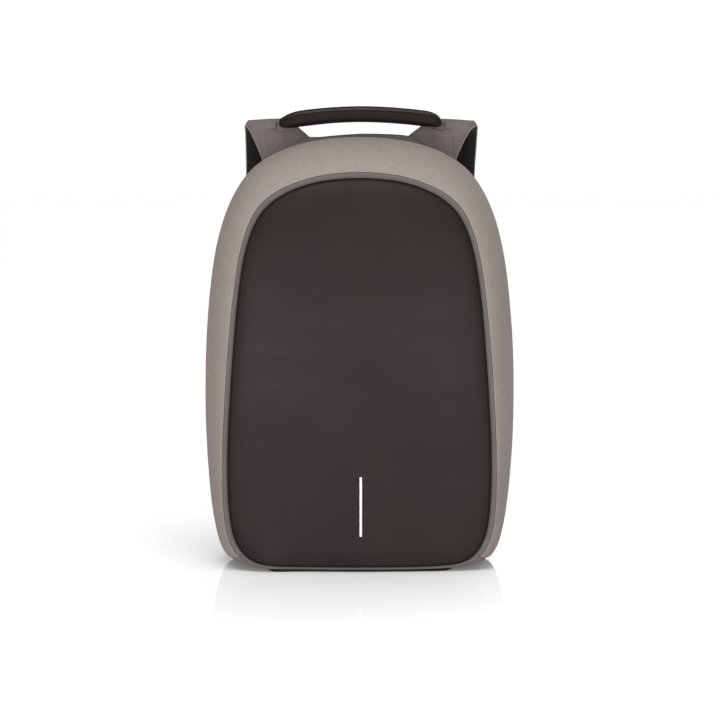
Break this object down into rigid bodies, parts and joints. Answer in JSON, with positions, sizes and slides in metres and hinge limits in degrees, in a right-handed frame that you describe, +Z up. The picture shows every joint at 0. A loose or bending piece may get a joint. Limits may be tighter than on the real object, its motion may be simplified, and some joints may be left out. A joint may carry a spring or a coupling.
{
  "type": "anti theft backpack",
  "caption": "Closed upright commuter backpack: padded shell, domed front panel set in a rim, padded top handle, and two padded shoulder straps with webbing and buckles.",
  "frame": {"origin": "bottom centre of the whole bag's box, on the surface that the base stands on", "axes": "+Z up, -Y towards the front panel, +Y towards the shoulder straps, +X to the right of a viewer who looks at the front; the longest extent is along Z"},
  "size_m": [0.298, 0.21, 0.4384],
  "materials": {
    "shell_fabric": "smooth warm grey woven fabric over thin foam, faint horizontal streaks, soft sheen",
    "front_panel": "smooth coated charcoal fabric over a moulded board, satin",
    "black_trim": "matte black piping",
    "base_sheet": "matte black coated sheet",
    "metal_strip": "bright satin strip",
    "zip_tape": "woven black tape",
    "zip_parts": "black coil and black coated sliders",
    "black_fabric": "plain woven black fabric",
    "mesh_fabric": "black spacer mesh over foam",
    "strap_fabric": "smooth warm grey woven fabric over foam, stitched edges",
    "handle_cover": "smooth charcoal cover over foam, satin",
    "webbing": "ribbed black webbing",
    "buckle_plastic": "matte black moulded plastic"
  },
  "bodies": {
    "root": {"panel_rim": "shell_fabric", "body_shell_left": "shell_fabric", "body_shell_right": "shell_fabric", "body_crown_left": "shell_fabric", "body_crown_right": "shell_fabric", "base_panel": "shell_fabric", "base_sheet": "base_sheet", "front_panel": "front_panel", "panel_welt": "black_trim", "metal_strip": "metal_strip", "zip_tape": "zip_tape", "zip_coil": "zip_parts", "zip_slider_lower": "zip_parts", "zip_slider_upper": "zip_parts", "back_wall": "black_fabric", "back_pad": "mesh_fabric", "yoke": "strap_fabric", "top_handle": "handle_cover", "strap_shell_left": "strap_fabric", "strap_shell_right": "strap_fabric", "strap_lining_left": "mesh_fabric", "strap_lining_right": "mesh_fabric", "webbing_left": "webbing", "webbing_right": "webbing", "buckle_left": "buckle_plastic", "buckle_right": "buckle_plastic", "buckle_loop_left": "webbing", "buckle_loop_right": "webbing", "strap_anchor_left": "black_fabric", "strap_anchor_right": "black_fabric"}
  },
  "joints": []
}
